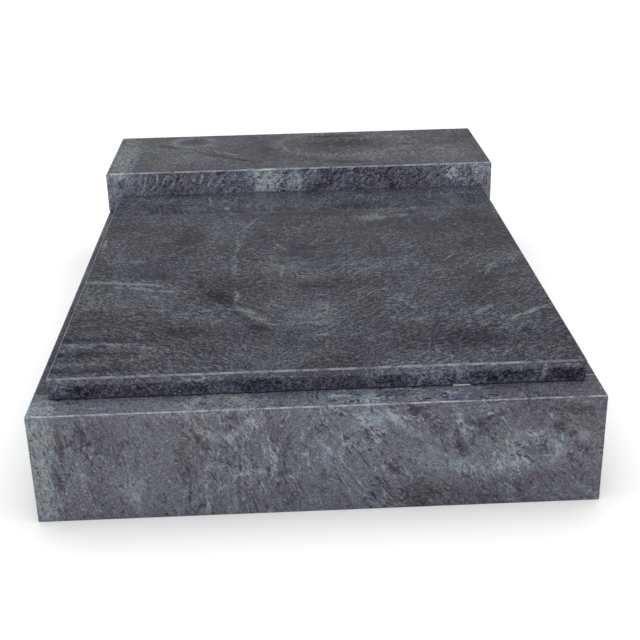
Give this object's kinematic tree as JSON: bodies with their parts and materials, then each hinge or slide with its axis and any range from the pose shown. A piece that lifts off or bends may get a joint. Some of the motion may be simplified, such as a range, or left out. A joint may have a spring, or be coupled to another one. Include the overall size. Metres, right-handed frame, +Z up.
{
  "type": "granite grave kerb set with cover slab",
  "caption": "Polished granite grave kerb set: a kerb frame joined by corner brackets, a flat cover slab that lifts off, and a headstone base across the rear.",
  "frame": {"origin": "centre of the memorial's footprint, on the ground under the kerbs", "axes": "+X to the right seen from the front kerb, +Y from the front kerb towards the headstone base, +Z up"},
  "size_m": [1, 1.5, 0.312],
  "materials": {
    "kerb_granite": "polished blue-grey veined granite, sawn underneath",
    "slab_granite": "polished dark blue-grey veined granite",
    "base_granite": "polished blue-grey veined granite",
    "joint_mortar": "fine dark jointing mortar",
    "setting_pad": "milky plastic packer",
    "stainless_steel": "brushed stainless steel",
    "nylon_plug": "moulded grey nylon",
    "dowel_resin": "set polyester resin"
  },
  "bodies": {
    "kerb_frame": {"front_kerb": "kerb_granite", "rear_kerb": "kerb_granite", "headstone_base": "base_granite", "front_pads": "setting_pad", "rear_bed": "joint_mortar", "left_kerb": "kerb_granite", "left_pads": "setting_pad", "left_bed": "joint_mortar", "left_dowels": "stainless_steel", "left_dowel_resin": "dowel_resin", "right_kerb": "kerb_granite", "right_pads": "setting_pad", "right_bed": "joint_mortar", "right_dowels": "stainless_steel", "right_dowel_resin": "dowel_resin", "front_left_joint": "joint_mortar", "front_left_bracket": "stainless_steel", "front_left_screws": "stainless_steel", "front_left_washers": "stainless_steel", "front_left_plugs": "nylon_plug", "front_right_joint": "joint_mortar", "front_right_bracket": "stainless_steel", "front_right_screws": "stainless_steel", "front_right_washers": "stainless_steel", "front_right_plugs": "nylon_plug", "rear_left_joint": "joint_mortar", "rear_left_bracket": "stainless_steel", "rear_left_screws": "stainless_steel", "rear_left_washers": "stainless_steel", "rear_left_plugs": "nylon_plug", "rear_right_joint": "joint_mortar", "rear_right_bracket": "stainless_steel", "rear_right_screws": "stainless_steel", "rear_right_washers": "stainless_steel", "rear_right_plugs": "nylon_plug"},
    "cover": {"cover_slab": "slab_granite"}
  },
  "joints": [
    {"name": "cover_lift", "type": "slide", "parent": "kerb_frame", "child": "cover", "axis": [0, 0, 1], "range_m": [0, 0.3]}
  ]
}
